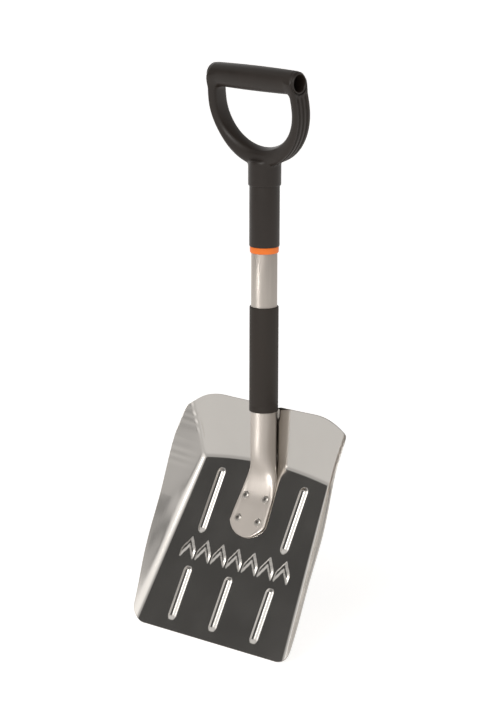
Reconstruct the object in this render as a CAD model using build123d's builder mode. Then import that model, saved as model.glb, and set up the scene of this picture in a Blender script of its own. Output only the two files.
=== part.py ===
"""Compact snow shovel: pressed aluminium pan riveted to a tube, with a D-shaped hand grip.

Frame: millimetres, +Z up along the shaft, +X along the hand bar to the right, and the scoop
opening towards -Y.  The origin is the centre of the hand bar.
"""
from build123d import *

import os
from math import cos, pi, radians, sin

# ---------------------------------------------------------------- driving dimensions
# Fits between pieces
sleeve_clearance = 0.10      # radial, sleeves and ring on the tube
socket_clearance = 0.15      # radial, tube in the grip's socket and sleeve in its collar
rivet_clearance = 0.05       # radial, rivet shanks in their holes and mandrels in the bodies
seat_gap = 0.05              # between the flattened tube end and the pan
channel_clearance = 0.20     # between the tube and the channel pressed for it
channel_spread = 1.5         # more width for the channel where the tube flattens
notch_clearance = 0.50       # round and below the foot of the lower grip

# Hand grip
grip_tilt = 9.0              # the D leans this many degrees out over the scoop
neck_to_bar = 94.0           # from the shaft's axis at the neck to the bar's centre
bar_length = 118.0
bar_middle_radius = 13.3
bar_end_radius = 12.3
bar_bore_radius = 9.0
arch_half_width = 61.0       # outer face of the arms, at their widest
arch_drop = 75.0             # outer face, from its widest level to the bottom of the D
arch_level = -20.0           # widest level, below the bar's centre
opening_half_width = 52.5
opening_drop = 55.0
arm_depth = 24.0
arm_inner_round = 5.0
arm_outer_round = 3.0
bar_end_round = 1.5
groove_count = 3
groove_pitch = 6.0
groove_width = 2.2
groove_depth = 1.0
collar_wall = 1.25
shoulder_start = 1.0         # above the neck, where the socket begins to narrow to the D
shoulder_end = 7.0           # above the neck, where it is as narrow as the D is deep
socket_length = 22.0         # from the neck down to the collar's mouth
collar_depth = 7.0           # how far the stem sleeve is tucked into the collar

# Shaft
tube_radius = 14.0
tube_wall = 1.25
neck_to_floor = 344.0        # down the shaft's axis, from the neck to the plane of the pan's floor
tube_below_neck = 1.0        # the tube's top end, down from the neck, inside the grip
stem_wall = 2.2
stem_length = 65.0           # below the collar's mouth
ring_wall = 1.4
ring_length = 7.0
lower_grip_wall = 1.6
lower_grip_length = 115.0
lower_grip_foot = 76.5       # up the shaft's axis from the plane of the floor

# Flattened end of the tube
flatten_start = 28.0         # up the axis from the plane of the floor
loft_inset = 0.05            # the flattened form starts this much inside the round tube
elbow_half_height = 6.5
elbow_raise = 3.0            # middle of the elbow section in front of the floor
tongue_thickness = 2.5
tongue_half_width = 24.5
tongue_neck = -17.0          # where the tube is fully flat, down the floor from the shaft's axis
tongue_shoulder = -52.0      # where the tongue is widest and its end begins to round
tongue_end = -67.0

# Pan
sheet = 1.5
floor_lean = 29.0            # degrees between the pan's floor and the shaft
back_bend = 9.9              # floor ends here, up from the shaft's axis
tip = -185.5                 # cutting edge, down from the shaft's axis
floor_half_width_back = 89.9
floor_half_width_tip = 110.0
side_flare = 41.0            # degrees of the side walls out from square to the floor
back_rise = 27.0             # degrees that the back wall rises out of the floor's plane
back_height = 73.0           # up the back wall from its bend
rim_half_width = 116.0       # at its widest
rim_widest = -60.0           # level where the rim is widest
rim_half_width_tip = 111.3
rim_half_width_back = 110.5  # where side and back edges would meet without their rounding
rim_corner = 58.5            # level of that corner
rim_straight = 64.0          # half the straight length of the back edge
bend_radius = 7.0            # inside
corner_radius_tip = 17.0
corner_radius_back = 14.0

# Stiffening beads and pattern pressed into the floor
bead_height = 2.6
bead_width = 11.5
bead_flank = 38.0            # degrees of the flank from square to the floor
upper_bead_spots = ((-59.0, -36.0), (59.0, -36.0))
upper_bead_length = 75.5
lower_bead_spots = ((-59.0, -143.4), (0.0, -143.4), (59.0, -143.4))
lower_bead_length = 62.5
chevron_count = 7
chevron_pitch = 22.5
chevron_width = 20.5
chevron_height = 27.0
chevron_stroke = 12.0
chevron_middle = -93.5
chevron_raise = 2.0

# Fasteners
rivet_spots = ((-14.0, -22.0), (14.0, -22.0), (-14.0, -48.0), (14.0, -48.0))
rivet_radius = 2.4
rivet_flange_radius = 4.4
rivet_flange_height = 1.3
rivet_tail_radius = 3.4
rivet_tail_length = 3.5
mandrel_radius = 1.2
mandrel_sink = 0.9           # how far the broken mandrel sits below the top of the flange
mandrel_head_radius = 2.1
mandrel_head_height = 1.6
screw_radius = 1.75
screw_head_radius = 3.8
screw_head_height = 2.2
screw_length = 8.5           # below its head
screw_recess = 1.0           # depth of the seat for the head in the socket
screw_drop = 9.0             # below the neck

# ---------------------------------------------------------------- places
neck_z = -neck_to_bar * cos(radians(grip_tilt))
shaft_y = neck_to_bar * sin(radians(grip_tilt))
foot_z = neck_z - neck_to_floor

stem_radius = tube_radius + stem_wall
ring_radius = tube_radius + ring_wall
lower_grip_radius = tube_radius + lower_grip_wall
socket_radius = stem_radius + socket_clearance + collar_wall
# The tube's girth stays the same as it is flattened
elbow_half_width = (2 * tube_radius**2 - elbow_half_height**2) ** 0.5
tongue_neck_half_width = pi * tube_radius / 2

lean = radians(floor_lean)
rise = radians(back_rise)
flare = radians(side_flare)

grip_plane = Plane(
    origin=(0, 0, 0),
    x_dir=(1, 0, 0),
    z_dir=(0, -cos(radians(grip_tilt)), -sin(radians(grip_tilt))),
)
# The floor's own plane: x across, y up the floor, z out of the floor towards the user
floor_plane = Plane(origin=(0, shaft_y, foot_z), x_dir=(1, 0, 0), z_dir=(0, -cos(lean), sin(lean)))
floor_up = floor_plane.y_dir
floor_out = floor_plane.z_dir


def on_floor(across, up, out=0.0):
    """Point given in the floor's own plane."""
    return floor_plane.from_local_coords((across, up, out))


back_plane = Plane(
    origin=on_floor(0, back_bend),
    x_dir=(1, 0, 0),
    z_dir=floor_out * cos(rise) - floor_up * sin(rise),
)
# Each side wall stands on the floor's edge, which spreads towards the tip
spread = (floor_half_width_tip - floor_half_width_back) / (back_bend - tip)


def side_plane(side):
    """Plane of one side wall, facing the inside of the pan; side is 1 or -1."""
    edge = Vector(side * spread, -1, 0)
    wall = Vector(side * sin(flare), 0, cos(flare))
    inward = edge.cross(wall) * side
    origin = on_floor(side * floor_half_width_back, back_bend)
    across = floor_plane.x_dir * inward.X + floor_up * inward.Y + floor_out * inward.Z
    return Plane(origin=origin, z_dir=across)


def level(height):
    """Plane across the shaft, this far up its axis from the plane of the floor."""
    return Plane(origin=(0, shaft_y, foot_z + height), x_dir=(1, 0, 0), z_dir=(0, 0, 1))


elbow_plane = Plane(
    origin=on_floor(0, elbow_raise, elbow_raise),
    x_dir=(1, 0, 0),
    z_dir=(0, sin(lean / 2), cos(lean / 2)),
)


def tongue_section(raised):
    """Plane across the tube where it is fully flat, its middle this far out of the floor."""
    return Plane(origin=on_floor(0, tongue_neck, raised), x_dir=(1, 0, 0), z_dir=floor_up)


# The bore closes up a little above the place where the tube is fully flat
void_end = Plane(
    origin=on_floor(0, tongue_neck + 2 * tongue_thickness, seat_gap + tongue_thickness / 2),
    x_dir=(1, 0, 0),
    z_dir=floor_up,
)
# The screw goes in from behind, square to the shaft
screw_seat = Plane(
    origin=(0, shaft_y + socket_radius - screw_recess, neck_z - screw_drop),
    x_dir=(1, 0, 0),
    z_dir=(0, 1, 0),
)


def flattened(grow, spread, end_raise):
    """Loft of the tube's outside from round to flat, grown all round and spread at the sides."""
    with BuildPart() as form:
        with BuildSketch(level(flatten_start)):
            Circle(tube_radius + grow - loft_inset)
        with BuildSketch(elbow_plane):
            Ellipse(elbow_half_width + grow + spread, elbow_half_height + grow)
        with BuildSketch(tongue_section(end_raise)):
            Ellipse(tongue_neck_half_width + grow + spread, tongue_thickness / 2 + grow)
        loft()
    return form.part


# ---------------------------------------------------------------- pan
def pan_space(grow, radius):
    """Space inside the pan's sheet, grown outwards, with its bends rounded."""
    walls = [plane.offset(-grow) for plane in (floor_plane, back_plane, side_plane(1), side_plane(-1))]
    with BuildPart() as space:
        with BuildSketch(floor_plane.offset(-2 * sheet)):
            with Locations((0, tip / 2)):
                Rectangle(4 * rim_half_width, 3 * rim_half_width)
        extrude(amount=rim_half_width)
        for wall in walls:
            split(bisect_by=wall, keep=Keep.TOP)
        bends = space.edges().filter_by(
            lambda edge: sum(abs(wall.to_local_coords(edge.center()).Z) < 0.001 for wall in walls) == 2
        )
        fillet(bends, radius)
    return space.part


def channel(grow):
    """Half-round channel pressed in the pan for the tube, fading out under the flattened end."""
    raised = seat_gap + tongue_thickness / 2 + 0.85 * channel_clearance
    with BuildPart() as form:
        add(flattened(grow, channel_spread, raised))
        with BuildSketch(level(flatten_start - loft_inset)):
            Circle(tube_radius + grow)
        extrude(amount=2 * back_height)
    return form.part


pan_inside = pan_space(0, bend_radius)
pan_outside = pan_space(sheet, bend_radius + sheet)
channel_inside = channel(channel_clearance)
channel_outside = channel(channel_clearance + sheet)

back_edge = back_bend + back_height * cos(rise)
press_steps = (
    (-0.5 * sheet, 0.5 * sheet, 0.0, Mode.ADD),
    (-1.5 * sheet, 0.5 * sheet, 0.4 * sheet, Mode.SUBTRACT),
)
chevron_spots = [
    (chevron_pitch * (place - (chevron_count - 1) / 2), chevron_middle) for place in range(chevron_count)
]


def chevron_outline(narrowing):
    """Corners of one chevron pointing up the floor, drawn in by narrowing on every side."""
    half = chevron_width / 2 - narrowing
    foot = -chevron_height / 2
    slope = (chevron_height - chevron_stroke) / (chevron_width / 2)
    inset = narrowing * (1 + slope**2) ** 0.5
    peak = chevron_height / 2 - inset
    notch = foot + (chevron_height - chevron_stroke) + inset
    return (
        (-half, foot + slope * narrowing + inset),
        (0, notch),
        (half, foot + slope * narrowing + inset),
        (half, peak - slope * half),
        (0, peak),
        (-half, peak - slope * half),
    )


with BuildPart() as blade:
    add(pan_outside)
    add(channel_outside)
    add(pan_inside, mode=Mode.SUBTRACT)
    add(channel_inside, mode=Mode.SUBTRACT)
    with BuildSketch(floor_plane.offset(-2 * tube_radius)):
        with BuildLine():
            edge = Line((0, tip), (rim_half_width_tip, tip))
            side = ThreePointArc(edge @ 1, (rim_half_width, rim_widest), (rim_half_width_back, rim_corner))
            back = Line((0, back_edge), (rim_straight, back_edge))
            TangentArc(back @ 1, side @ 1, tangent=(1, 0))
            mirror(about=Plane.YZ)
        make_face()
        fillet(vertices().group_by(Axis.Y)[-2], corner_radius_back)
        fillet(vertices().group_by(Axis.Y)[0], corner_radius_tip)
    extrude(amount=4 * back_height, mode=Mode.INTERSECT)
    # Beads and chevrons stand proud in front and are hollow behind: what is raised from inside
    # the sheet is then cut from behind by the same shape, set back by the sheet and narrower.
    for start, reach, narrowing, mode in press_steps:
        for spots, length in ((upper_bead_spots, upper_bead_length), (lower_bead_spots, lower_bead_length)):
            with BuildSketch(floor_plane.offset(start)):
                with Locations(*spots):
                    SlotOverall(length - 2 * narrowing, bead_width - 2 * narrowing, rotation=90)
            extrude(amount=bead_height + reach, taper=bead_flank, mode=mode)
        with BuildSketch(floor_plane.offset(start)):
            with Locations(*chevron_spots):
                Polygon(*chevron_outline(narrowing), align=None)
        extrude(amount=chevron_raise + reach, taper=bead_flank, mode=mode)
    with BuildSketch(floor_plane.offset(-2 * tube_radius)):
        with Locations(*rivet_spots):
            Circle(rivet_radius + rivet_clearance)
    extrude(amount=2 * tube_radius + sheet, mode=Mode.SUBTRACT)
    # The foot of the lower grip stands in a notch in the back edge
    with BuildSketch(level(lower_grip_foot - notch_clearance)):
        Circle(lower_grip_radius + notch_clearance)
    extrude(amount=2 * back_height, mode=Mode.SUBTRACT)
blade.part.label = "blade"

# ---------------------------------------------------------------- shaft
tube_top = neck_to_floor - tube_below_neck
bore_radius = tube_radius - tube_wall

with BuildPart() as shaft_tube:
    with BuildSketch(level(flatten_start - loft_inset)):
        Circle(tube_radius)
    extrude(amount=tube_top - flatten_start + loft_inset)
    add(flattened(0, 0, seat_gap + tongue_thickness / 2))
    with BuildSketch(floor_plane.offset(seat_gap)):
        with BuildLine():
            end = ThreePointArc(
                (tongue_half_width, tongue_shoulder), (0, tongue_end), (-tongue_half_width, tongue_shoulder)
            )
            Polyline(
                end @ 1,
                (-tongue_neck_half_width, tongue_neck),
                (-elbow_half_width, tongue_neck / 2),
                (elbow_half_width, tongue_neck / 2),
                (tongue_neck_half_width, tongue_neck),
                end @ 0,
            )
        make_face()
    extrude(amount=tongue_thickness)
    # The bore closes to nothing where the tube is pressed flat
    with BuildSketch(level(flatten_start + loft_inset)):
        Circle(bore_radius - loft_inset)
    with BuildSketch(elbow_plane):
        Ellipse(elbow_half_width - tube_wall, elbow_half_height - tube_wall)
    with BuildSketch(void_end):
        Ellipse(tongue_neck_half_width - 2 * tube_wall, tube_wall / 8)
    loft(mode=Mode.SUBTRACT)
    with BuildSketch(level(flatten_start)):
        Circle(bore_radius)
    extrude(amount=tube_top, mode=Mode.SUBTRACT)
    with BuildSketch(floor_plane.offset(-sheet)):
        with Locations(*rivet_spots):
            Circle(rivet_radius + rivet_clearance)
    extrude(amount=2 * sheet + 2 * tongue_thickness, mode=Mode.SUBTRACT)
    with BuildSketch(screw_seat):
        Circle(screw_radius + rivet_clearance)
    extrude(amount=-socket_radius, mode=Mode.SUBTRACT)
shaft_tube.part.label = "shaft_tube"


def sleeve(foot, length, outer_radius, edge):
    """Plain sleeve round the tube, its outer edges rounded."""
    with BuildPart() as body:
        with BuildSketch(level(foot)):
            Circle(outer_radius)
            Circle(tube_radius + sleeve_clearance, mode=Mode.SUBTRACT)
        extrude(amount=length)
        fillet(body.edges().filter_by(GeomType.CIRCLE).group_by(SortBy.RADIUS)[-1], edge)
    return body


stem_foot = neck_to_floor - socket_length - stem_length
stem_sleeve = sleeve(stem_foot, stem_length + collar_depth - seat_gap, stem_radius, 0.4)
stem_sleeve.part.label = "stem_sleeve"
accent_ring = sleeve(stem_foot - ring_length, ring_length, ring_radius, 0.6)
accent_ring.part.label = "accent_ring"
lower_grip = sleeve(lower_grip_foot, lower_grip_length, lower_grip_radius, 0.5)
lower_grip.part.label = "lower_grip"

# ---------------------------------------------------------------- hand grip
def arch_edges(body, half_width, drop):
    """Front and back edges of the arms that follow one half ellipse of the D."""

    def on_arch(edge):
        point = grip_plane.to_local_coords(edge @ 0.5)
        off_arch = (point.X / half_width) ** 2 + ((point.Y - arch_level) / drop) ** 2 - 1
        return abs(off_arch) < 0.01 and abs(point.Z) > arm_depth / 4

    return body.edges().filter_by(on_arch)


with BuildPart() as d_grip:
    # The arms: a half ring between two ellipses
    with BuildSketch(grip_plane):
        with Locations((0, arch_level)):
            Ellipse(arch_half_width, arch_drop)
            Ellipse(opening_half_width, opening_drop, mode=Mode.SUBTRACT)
        Rectangle(
            4 * arch_half_width, 4 * arch_drop, align=(Align.CENTER, Align.MIN), mode=Mode.SUBTRACT
        )
    extrude(amount=arm_depth / 2, both=True)
    for half_width, drop, radius in (
        (opening_half_width, opening_drop, arm_inner_round),
        (arch_half_width, arch_drop, arm_outer_round),
    ):
        fillet(arch_edges(d_grip, half_width, drop), radius)
    # Grooves run down the outer face of each arm
    for place in range(groove_count):
        with BuildSketch(grip_plane.offset(groove_pitch * (place - (groove_count - 1) / 2))):
            with Locations((0, arch_level)):
                Ellipse(arch_half_width + 1, arch_drop + 1)
                Ellipse(arch_half_width - groove_depth, arch_drop - groove_depth, mode=Mode.SUBTRACT)
            with Locations((0, -bar_end_radius)):
                Rectangle(
                    4 * arch_half_width,
                    4 * arch_drop,
                    align=(Align.CENTER, Align.MIN),
                    mode=Mode.SUBTRACT,
                )
        extrude(amount=groove_width / 2, both=True, mode=Mode.SUBTRACT)
    # The bar swells a little in the middle and is hollow from end to end
    with BuildSketch(grip_plane):
        with BuildLine():
            crown = ThreePointArc(
                (bar_length / 2, bar_end_radius), (0, bar_middle_radius), (-bar_length / 2, bar_end_radius)
            )
            Polyline(crown @ 1, (-bar_length / 2, 0), (bar_length / 2, 0), crown @ 0)
        make_face()
        fillet(vertices().group_by(Axis.Y)[-1], bar_end_round)
    revolve(axis=Axis.X)
    with BuildSketch(Plane.YZ.offset(-bar_length)):
        Circle(bar_bore_radius)
    extrude(amount=2 * bar_length, mode=Mode.SUBTRACT)
    # Socket for the tube, with a collar round the top of the stem sleeve
    with BuildSketch(level(neck_to_floor - socket_length)):
        Circle(socket_radius)
    extrude(amount=socket_length + shoulder_start)
    with BuildSketch(level(neck_to_floor + shoulder_start)):
        Circle(socket_radius)
    with BuildSketch(level(neck_to_floor + shoulder_end)):
        Circle(arm_depth / 2)
    loft()
    with BuildSketch(level(neck_to_floor - 2 * socket_length)):
        Circle(tube_radius + socket_clearance)
    extrude(amount=2 * socket_length - tube_below_neck + seat_gap, mode=Mode.SUBTRACT)
    with BuildSketch(level(neck_to_floor - 2 * socket_length)):
        Circle(stem_radius + socket_clearance)
    extrude(amount=socket_length + collar_depth, mode=Mode.SUBTRACT)
    # Seat and hole for the screw
    with BuildSketch(screw_seat):
        Circle(screw_head_radius + 2 * socket_clearance)
    extrude(amount=socket_radius, mode=Mode.SUBTRACT)
    with BuildSketch(screw_seat):
        Circle(screw_radius + rivet_clearance)
    extrude(amount=-socket_radius, mode=Mode.SUBTRACT)
d_grip.part.label = "d_grip"

# ---------------------------------------------------------------- fasteners
with BuildPart() as handle_screw:
    with BuildSketch(screw_seat):
        Circle(screw_head_radius)
    extrude(amount=screw_head_height)
    fillet(handle_screw.edges().filter_by(GeomType.CIRCLE).sort_by(Axis.Y)[-1], screw_head_height / 2)
    with BuildSketch(screw_seat):
        Circle(screw_radius)
    extrude(amount=-screw_length)
    with BuildSketch(screw_seat.offset(screw_head_height)):
        for turn in (0, 90):
            Rectangle(1.6 * screw_radius, 0.9, rotation=turn)
    extrude(amount=-screw_head_height * 0.6, mode=Mode.SUBTRACT)
handle_screw.part.label = "handle_screw"

rivet_bodies = []
rivet_mandrels = []
flange_seat = seat_gap + tongue_thickness
tail_end = -sheet - rivet_tail_length
for number, (across, up) in enumerate(rivet_spots, start=1):
    section = Plane(origin=on_floor(across, up), x_dir=(1, 0, 0), z_dir=-floor_up)
    centre = Axis(on_floor(across, up), floor_out)
    with BuildPart() as rivet_body:
        with BuildSketch(section):
            with BuildLine():
                dome = ThreePointArc(
                    (rivet_flange_radius, flange_seat + 0.3),
                    (0.72 * rivet_flange_radius, flange_seat + 0.8 * rivet_flange_height),
                    (mandrel_radius + rivet_clearance, flange_seat + rivet_flange_height),
                )
                tail = ThreePointArc(
                    (rivet_radius, -sheet),
                    (rivet_tail_radius, -sheet - 0.4 * rivet_tail_length),
                    (mandrel_head_radius, tail_end),
                )
                Polyline(dome @ 1, (mandrel_radius + rivet_clearance, tail_end), tail @ 1)
                Polyline(tail @ 0, (rivet_radius, flange_seat), (rivet_flange_radius, flange_seat), dome @ 0)
            make_face()
        revolve(axis=centre)
    rivet_body.part.label = f"rivet_body_{number}"
    rivet_bodies.append(rivet_body)
    with BuildPart() as rivet_mandrel:
        with BuildSketch(section):
            with BuildLine():
                stub_top = flange_seat + rivet_flange_height - mandrel_sink
                Polyline(
                    (0, stub_top),
                    (mandrel_radius, stub_top),
                    (mandrel_radius, tail_end),
                    (mandrel_head_radius, tail_end),
                    (0.7 * mandrel_head_radius, tail_end - mandrel_head_height),
                    (0, tail_end - mandrel_head_height),
                    close=True,
                )
            make_face()
        revolve(axis=centre)
    rivet_mandrel.part.label = f"rivet_mandrel_{number}"
    rivet_mandrels.append(rivet_mandrel)

# ---------------------------------------------------------------- files
os.makedirs("parts", exist_ok=True)
pieces = [blade, shaft_tube, d_grip, stem_sleeve, accent_ring, lower_grip, handle_screw]
for piece in pieces + rivet_bodies + rivet_mandrels:
    export_step(piece.part, f"parts/{piece.part.label}.step")
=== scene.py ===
"""Compact snow shovel: the visual model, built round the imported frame.

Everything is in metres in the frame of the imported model: +Z up the shaft, +X along the hand bar to
the right, the scoop open towards -Y, and the origin in the middle of the hand bar.
"""
from math import cos, pi, radians, sin, tan

import bpy
import numpy as np
import openvdb
from mathutils import Matrix, Vector


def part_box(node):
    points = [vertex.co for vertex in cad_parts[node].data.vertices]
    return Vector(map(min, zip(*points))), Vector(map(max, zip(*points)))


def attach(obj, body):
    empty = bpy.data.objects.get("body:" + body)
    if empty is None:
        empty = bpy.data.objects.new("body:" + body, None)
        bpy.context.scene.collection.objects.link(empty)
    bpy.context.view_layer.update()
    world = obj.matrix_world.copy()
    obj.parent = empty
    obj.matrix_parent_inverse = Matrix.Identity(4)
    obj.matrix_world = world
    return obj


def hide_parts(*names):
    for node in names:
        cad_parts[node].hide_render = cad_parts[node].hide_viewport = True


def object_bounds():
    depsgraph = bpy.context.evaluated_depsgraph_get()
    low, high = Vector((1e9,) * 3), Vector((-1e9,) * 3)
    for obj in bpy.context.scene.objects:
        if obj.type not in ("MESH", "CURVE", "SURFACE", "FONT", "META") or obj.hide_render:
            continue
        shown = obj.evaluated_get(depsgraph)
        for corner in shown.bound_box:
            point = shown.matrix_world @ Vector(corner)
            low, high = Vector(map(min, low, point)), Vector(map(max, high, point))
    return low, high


bl_info = {
    "name": "Compact Snow Shovel",
    "version": (1, 0, 0),
    "blender": (4, 5, 0),
    "location": "3D View > Sidebar > Shovel",
    "description": "Builds a compact snow shovel with an aluminium pan and a D-shaped hand grip",
    "category": "Add Mesh",
}

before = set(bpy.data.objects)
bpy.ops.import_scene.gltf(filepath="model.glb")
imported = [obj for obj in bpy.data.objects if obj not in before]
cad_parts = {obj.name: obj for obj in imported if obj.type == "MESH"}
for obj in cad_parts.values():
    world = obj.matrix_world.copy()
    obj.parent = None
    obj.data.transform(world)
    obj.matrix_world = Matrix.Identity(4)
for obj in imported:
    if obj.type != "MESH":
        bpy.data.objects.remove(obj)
cad_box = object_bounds()

MM = 0.001


# ---------------------------------------------------------------- colours and sizes
def linear(code):
    """Linear RGBA of an sRGB hex colour."""
    parts = [int(code[place : place + 2], 16) / 255 for place in (1, 3, 5)]
    curved = [part / 12.92 if part <= 0.04045 else ((part + 0.055) / 1.055) ** 2.4 for part in parts]
    return (*curved, 1.0)


def length(name, description, millimetres):
    """A length that a user may change."""
    return bpy.props.FloatProperty(
        name=name, description=description, default=millimetres * MM, unit="LENGTH"
    )


def angle(name, description, degrees):
    """An angle that a user may change."""
    return bpy.props.FloatProperty(
        name=name, description=description, default=radians(degrees), unit="ROTATION"
    )


def colour(name, description, code):
    """A colour that a user may change."""
    return bpy.props.FloatVectorProperty(
        name=name, description=description, default=linear(code), subtype="COLOR", size=4, min=0, max=1
    )


class ShovelPan(bpy.types.PropertyGroup):
    """Sizes and colour of the pan."""

    sheet: length("Sheet", "Thickness of the pressed sheet", 1.5)
    lean: angle("Lean", "Angle between the pan's floor and the shaft", 29)
    back_bend: length("Back bend", "Where the floor ends, up from the shaft's axis", 9.9)
    bend_arch: length("Bend arch", "How much higher the back bend runs in its middle", 8)
    back_height: length("Back height", "Height up the back wall from its bend", 73)
    back_rise: angle("Back rise", "Angle by which the back wall rises out of the floor's plane", 27)
    tip: length("Tip", "Cutting edge, measured from the shaft's axis", -185.5)
    half_width_back: length("Half width at the back", "Half the floor's width at the back bend", 89.9)
    half_width_tip: length("Half width at the tip", "Half the floor's width at the cutting edge", 108.4)
    side_bend: length("Side bend", "Reach of the bend between the floor and a side wall", 4.8)
    back_softness: length("Back softness", "Reach of the bend between the floor and the back wall", 1.6)
    bead_height: length("Bead height", "Height of the stiffening beads", 2.4)
    bead_width: length("Bead width", "Width of the stiffening beads", 11.5)
    chevron_height: length("Chevron height", "Height of the pressed chevrons", 1.2)
    mesh_step: length("Mesh step", "Spacing of the mesh across the pan", 1.0)
    colour: colour("Colour", "Colour of the bright sheet", "#E3DFDA")


class ShovelTube(bpy.types.PropertyGroup):
    """Sizes and colours of the tube, its sleeves and its rivets."""

    radius: length("Radius", "Outside radius of the tube", 14)
    neck_to_floor: length("Neck to floor", "From the neck down to the plane of the pan's floor", 344)
    tongue_half_width: length("Tongue half width", "Half the width of the flattened end", 24.5)
    tongue_thickness: length("Tongue thickness", "Thickness of the flattened end", 2.5)
    tongue_end: length("Tongue end", "End of the tongue, measured from the shaft's axis", -67)
    lower_grip_foot: length("Lower grip foot", "Foot of the lower grip, up from the floor's plane", 76.5)
    tube_colour: colour("Tube", "Colour of the satin tube", "#BCB4AC")
    ring_colour: colour("Ring", "Colour of the accent ring", "#EC7520")
    rubber_colour: colour("Lower grip", "Colour of the lower grip", "#29221C")
    rivet_colour: colour("Rivets", "Colour of the rivet bodies", "#CFCAC3")
    steel_colour: colour("Steel", "Colour of the mandrels and the screw", "#8E8A86")


class ShovelGrip(bpy.types.PropertyGroup):
    """Sizes and colour of the hand grip."""

    tilt: angle("Tilt", "Lean of the D over the scoop", 9)
    bar_length: length("Bar length", "Length of the hand bar", 118)
    bar_middle_radius: length("Bar middle", "Radius in the middle of the bar", 13.3)
    bar_end_radius: length("Bar end", "Radius at the ends of the bar", 12.3)
    bore_radius: length("Bore", "Radius of the hole through the bar", 9)
    arch_half_width: length("Arch half width", "Half the width over the arms", 61.4)
    arch_drop: length("Arch drop", "From the widest level to the bottom of the D, outside", 67)
    arch_level: length("Arch level", "Widest level, measured from the bar", -28)
    opening_half_width: length("Opening half width", "Half the width of the opening", 51.8)
    opening_drop: length("Opening drop", "From the widest level to the bottom of the opening", 47)
    depth: length("Depth", "Depth of the arms from front to back", 24)
    groove_pitch: length("Groove pitch", "Spacing of the grooves along the arms", 6)
    groove_width: length("Groove width", "Width of a groove", 2.6)
    groove_depth: length("Groove depth", "Depth of a groove", 1.7)
    neck_drop: length("Neck drop", "From the bar down to the neck along the D", 94)
    socket_radius: length("Socket radius", "Outside radius of the socket", 17.6)
    socket_length: length("Socket length", "From the neck down to the mouth of the socket", 22)
    collar_depth: length("Collar depth", "How far the stem sleeve is tucked in", 7)
    voxel: length("Voxel", "Spacing of the grid that the grip is formed in", 0.5)
    colour: colour("Colour", "Colour of the moulded plastic", "#241D18")


class ShovelStage(bpy.types.PropertyGroup):
    """Camera, floor and light."""

    camera_place: bpy.props.FloatVectorProperty(
        name="Camera place",
        description="Where the camera stands",
        default=(1.8962, -2.1656, 0.3868),
        subtype="TRANSLATION",
    )
    yaw: angle("Yaw", "Turn of the camera to the left of +Y", 41.52)
    pitch: angle("Pitch", "How far the camera looks down", 13.46)
    roll: angle("Roll", "Turn of the camera about its own axis", 0.14)
    lens: bpy.props.FloatProperty(
        name="Lens",
        description="Focal length on a sensor 36 mm high",
        default=138.6,
        subtype="DISTANCE_CAMERA",
    )
    floor_colour: colour("Floor", "Colour of the studio floor", "#F6F5F4")


# ---------------------------------------------------------------- meshes
def lattice(rows, columns, first=0, closed=False):
    """Quads between the points of rows that follow one another, closed round if asked."""
    start = np.arange(rows - 1)[:, None] * columns + np.arange(columns if closed else columns - 1)[None, :]
    along = (np.arange(columns if closed else columns - 1) + 1) % columns
    beside = np.arange(rows - 1)[:, None] * columns + along[None, :]
    quads = np.stack([start, beside, beside + columns, start + columns], axis=-1).reshape(-1, 4)
    return (quads + first).tolist()


def add_piece(name, points, faces, material, slot, *nodes, normals=None):
    """A smooth mesh that rides on the shovel in place of the CAD nodes."""
    mesh = bpy.data.meshes.new(name)
    mesh.from_pydata(np.asarray(points).reshape(-1, 3).tolist(), [], faces)
    mesh.validate()
    mesh.shade_smooth()
    if normals is not None:
        mesh.normals_split_custom_set_from_vertices(normals.tolist())
    mesh.materials.append(material)
    piece = bpy.data.objects.new(name, mesh)
    bpy.context.scene.collection.objects.link(piece)
    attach(piece, "root")
    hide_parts(*nodes)
    return piece


def smooth_max(one, other, reach):
    """The larger of two fields, the crease between them rounded over this reach."""
    near = np.maximum(reach - np.abs(one - other), 0)
    return np.maximum(one, other) + near**2 / (4 * reach)


def smooth_min(one, other, reach):
    """The smaller of two fields, the crease between them rounded over this reach."""
    return -smooth_max(-one, -other, reach)


def smooth_step(value):
    """Rises smoothly from 0 to 1 as value does."""
    held = np.clip(value, 0, 1)
    return held * held * (3 - 2 * held)


def rounded_path(corners, run_step, arc_step):
    """Points along straight runs between corners, each corner rounded to its own radius."""
    points = [Vector(corners[0][:2])]
    for before, here, after in zip(corners, corners[1:], corners[2:]):
        corner = Vector(here[:2])
        back = (Vector(before[:2]) - corner).normalized()
        ahead = (Vector(after[:2]) - corner).normalized()
        turn = pi - back.angle(ahead)
        entry = corner + back * here[2] * tan(turn / 2)
        middle = corner + (back + ahead).normalized() * here[2] / cos(turn / 2)
        across = (entry - middle).normalized()
        start = points[-1].copy()
        pieces = max(1, round((entry - start).length / run_step))
        points += [start.lerp(entry, place / pieces) for place in range(1, pieces + 1)]
        pieces = max(4, round(here[2] * turn / arc_step))
        for place in range(1, pieces + 1):
            swing = turn * place / pieces
            points.append(middle + (across * cos(swing) - back * sin(swing)) * here[2])
    return points


# ---------------------------------------------------------------- places taken from the frame
sleeve_low, sleeve_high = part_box("stem_sleeve")
ring_low, ring_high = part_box("accent_ring")
rubber_low, rubber_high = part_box("lower_grip")
shaft_y = (sleeve_low.y + sleeve_high.y) / 2


def floor_origin(tube):
    """Where the shaft's axis meets the plane of the pan's floor."""
    return Vector((0, shaft_y, rubber_low.z - tube.lower_grip_foot))


def from_floor(origin, lean, across, up, out):
    """Points given across the floor, up it and out of it, in the frame of the whole model."""
    return np.stack(
        [
            across + origin.x,
            origin.y + up * sin(lean) - out * cos(lean),
            origin.z + up * cos(lean) + out * sin(lean),
        ],
        axis=-1,
    )


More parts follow.
